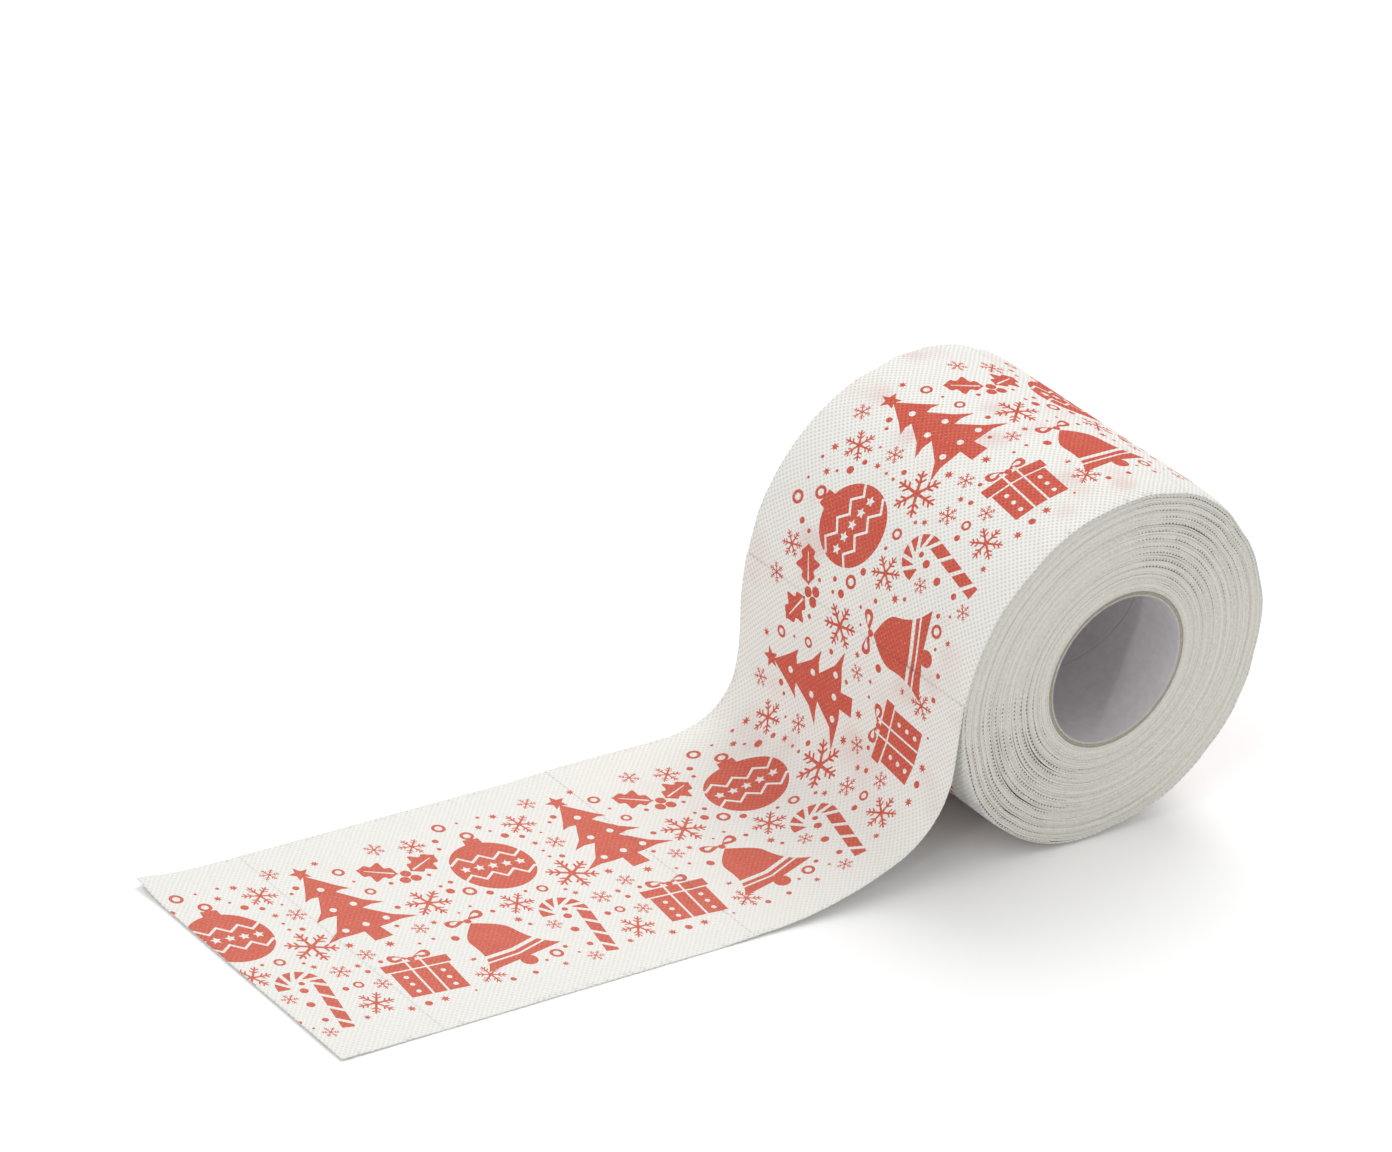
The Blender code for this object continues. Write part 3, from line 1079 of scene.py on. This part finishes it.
def tissue_edges():
    """The cut edges of the wound tissue, a little greyer as painted shade of the fine gaps between the
    layers, and varying in tone layer by layer.
    """
    material, tree, shader = new_material("tissue_edges", TISSUE_ROUGHNESS)
    place = add(tree, "TexCoord", {}).outputs["Object"]
    from_axis = add(tree, "VectorMath", {0: place, 1: AXIS}, operation="SUBTRACT").outputs[0]
    flat = add(tree, "VectorMath", {0: from_axis, 1: (1, 0, 1)}, operation="MULTIPLY").outputs[0]
    radius = add(tree, "VectorMath", {0: flat}, operation="LENGTH").outputs["Value"]
    rings = {"W": radius, "Scale": LAYER_SCALE, "Detail": 2.0}
    layers = add(tree, "TexNoise", rings, noise_dimensions="1D").outputs["Fac"]
    fibres = grain(tree, place, CUT_FIBRE_SCALE, detail=3.0)
    share = calc_sum(tree, (layers, LAYER_SHARE), (fibres, CUT_FIBRE_SHARE))
    colour = mix(tree, soft_step(tree, share, *CUT_TONE), EDGE_LIGHT, EDGE_DARK)
    tree.links.new(colour, shader.inputs["Base Color"])
    tree.links.new(bump(tree, CUT_BUMP, fibres), shader.inputs["Normal"])
    return material


def board(name, light, dark, fibre_scale):
    """Recycled board: fibres and specks."""
    material, tree, shader = new_material(name, BOARD_ROUGHNESS)
    place = add(tree, "TexCoord", {}).outputs["Object"]
    fibres = grain(tree, place, fibre_scale, detail=4.0)
    cloud = grain(tree, place, BOARD_CLOUD_SCALE, detail=2.0)
    speck = soft_step(tree, grain(tree, place, SPECK_SCALE, detail=2.0), *SPECK_EDGE)
    share = calc_sum(tree, (fibres, BOARD_FIBRE_SHARE), (cloud, BOARD_CLOUD_SHARE))
    colour = mix(tree, soft_step(tree, share, *BOARD_TONE), light, dark)
    colour = mix(tree, calc(tree, "MULTIPLY", speck, SPECK_SHARE), colour, dark)
    tree.links.new(colour, shader.inputs["Base Color"])
    tree.links.new(bump(tree, BOARD_BUMP, fibres), shader.inputs["Normal"])
    return material


# The object


def build_sheets():
    """The printed sheets. Their materials are the face's paper and print, then the back's."""
    look = [
        tissue("tissue", below=SHOWN_FROM_BELOW),
        ink(),
        tissue("tissue_back"),
        tissue("tissue_back_print", behind=SHOWN_FROM_BEHIND),
    ]
    for number in range(1, WRAPPED_SHEETS + 1):
        node = f"wrapped_sheet_{number}"
        start = S_ROLL + (number - 1) * SHEET_LENGTH
        piece = printed_sheet(f"printed_{node}", start, start + SHEET_LENGTH, on_roll, look)
        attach(piece, "roll")
        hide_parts(node)
    free_sheets = (
        ("loose_sheet", "loose_web", S_TAIL, S_ROLL, OVERLAP, on_loose, ["wrapped_sheet_1"]),
        ("tail_sheet", "tail", S_FOLD, S_TAIL, OVERLAP, on_table, []),
        ("cut_sheet", "cut_end", 0.0, S_FOLD, 0.0, on_table, []),
    )
    for node, body, start, end, lap, place, rests_on in free_sheets:
        piece = printed_sheet(f"printed_{node}", start, end + lap, place, look)
        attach(piece, body)
        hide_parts(node)


def build_winding():
    piece = winding(tissue_edges())
    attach(piece, "roll")
    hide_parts("wound_web")


def build_core():
    liner = board("liner_paper", LINER, LINER_DARK, LINER_FIBRE_SCALE)
    lining_rim = board("lining_rim", LINER_EDGE, BOARD_LIGHT, RIM_FIBRE_SCALE)
    rim = board("board_rim", BOARD_LIGHT, BOARD, RIM_FIBRE_SCALE)
    outer_ply = OUTER_PLY_OUTSIDE - INNER_PLY_OUTSIDE - PLY_SPACE
    inner = core_ply("core_lining", INNER_PLY_OUTSIDE, PLY, SEAM_START, [liner, lining_rim])
    outer = core_ply("core_board", OUTER_PLY_OUTSIDE, outer_ply, SEAM_START + math.pi, [rim, rim])
    plies = ((inner, "core_inner_ply", "lined_board"), (outer, "core_outer_ply", "grey_board"))
    for piece, node, slot in plies:
        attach(piece, "roll")
        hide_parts(node)


# The stage


def seen_itself(tree):
    """1 for rays that show a surface as such, 0 for rays that only light another."""
    path = add(tree, "LightPath", {}).outputs
    seen = calc(tree, "MAXIMUM", path["Is Camera Ray"], path["Is Glossy Ray"])
    return calc(tree, "MAXIMUM", seen, path["Is Transmission Ray"])


def add_floor():
    """A plain pale floor, white to the camera, that keeps the object's shadow."""
    bpy.ops.mesh.primitive_plane_add(size=FLOOR_SIZE)
    floor = bpy.context.object
    floor.name = "floor"
    material, tree, shader = new_material("pale_floor", FLOOR_ROUGHNESS)
    colour = mix(tree, seen_itself(tree), FLOOR, FLOOR_SEEN)
    tree.links.new(colour, shader.inputs["Base Color"])
    floor.data.materials.append(material)


def add_lamp(name, towards, size, power):
    data = bpy.data.lights.new(name, "AREA")
    data.size = size
    data.energy = power
    lamp = bpy.data.objects.new(name, data)
    direction = Vector(towards).normalized()
    lamp.location = direction * LAMP_DISTANCE
    lamp.rotation_euler = direction.to_track_quat("Z", "Y").to_euler()
    bpy.context.scene.collection.objects.link(lamp)


def add_world():
    """Even light from all round, white where it is seen itself."""
    world = bpy.data.worlds.new("studio")
    bpy.context.scene.world = world
    world.use_nodes = True
    tree = world.node_tree
    background = tree.nodes["Background"]
    background.inputs["Color"].default_value = WHITE
    strength = calc_between(tree, (SKY, 1), seen_itself(tree))
    tree.links.new(strength, background.inputs["Strength"])


def add_camera():
    data = bpy.data.cameras.new("camera")
    data.lens = CAMERA_LENS
    data.sensor_width = SENSOR_WIDTH
    data.clip_end = CAMERA_CLIP_END
    camera = bpy.data.objects.new("camera", data)
    bpy.context.scene.collection.objects.link(camera)
    flat = math.cos(CAMERA_ELEVATION)
    x = math.sin(CAMERA_AZIMUTH) * flat
    y = -math.cos(CAMERA_AZIMUTH) * flat
    back = Vector((x, y, math.sin(CAMERA_ELEVATION)))
    level = Vector((math.cos(CAMERA_AZIMUTH), math.sin(CAMERA_AZIMUTH), 0))
    upright = back.cross(level)
    right = level * math.cos(CAMERA_TILT) + upright * math.sin(CAMERA_TILT)
    up = back.cross(right)
    turn = Matrix((right, up, back)).transposed()
    camera.matrix_world = Matrix.Translation(CAMERA_PLACE) @ turn.to_4x4()
    bpy.context.scene.camera = camera


build_sheets()
build_winding()
build_core()
add_floor()
for lamp in LAMPS:
    add_lamp(*lamp)
add_world()
add_camera()
bpy.context.scene.view_settings.view_transform = "Standard"
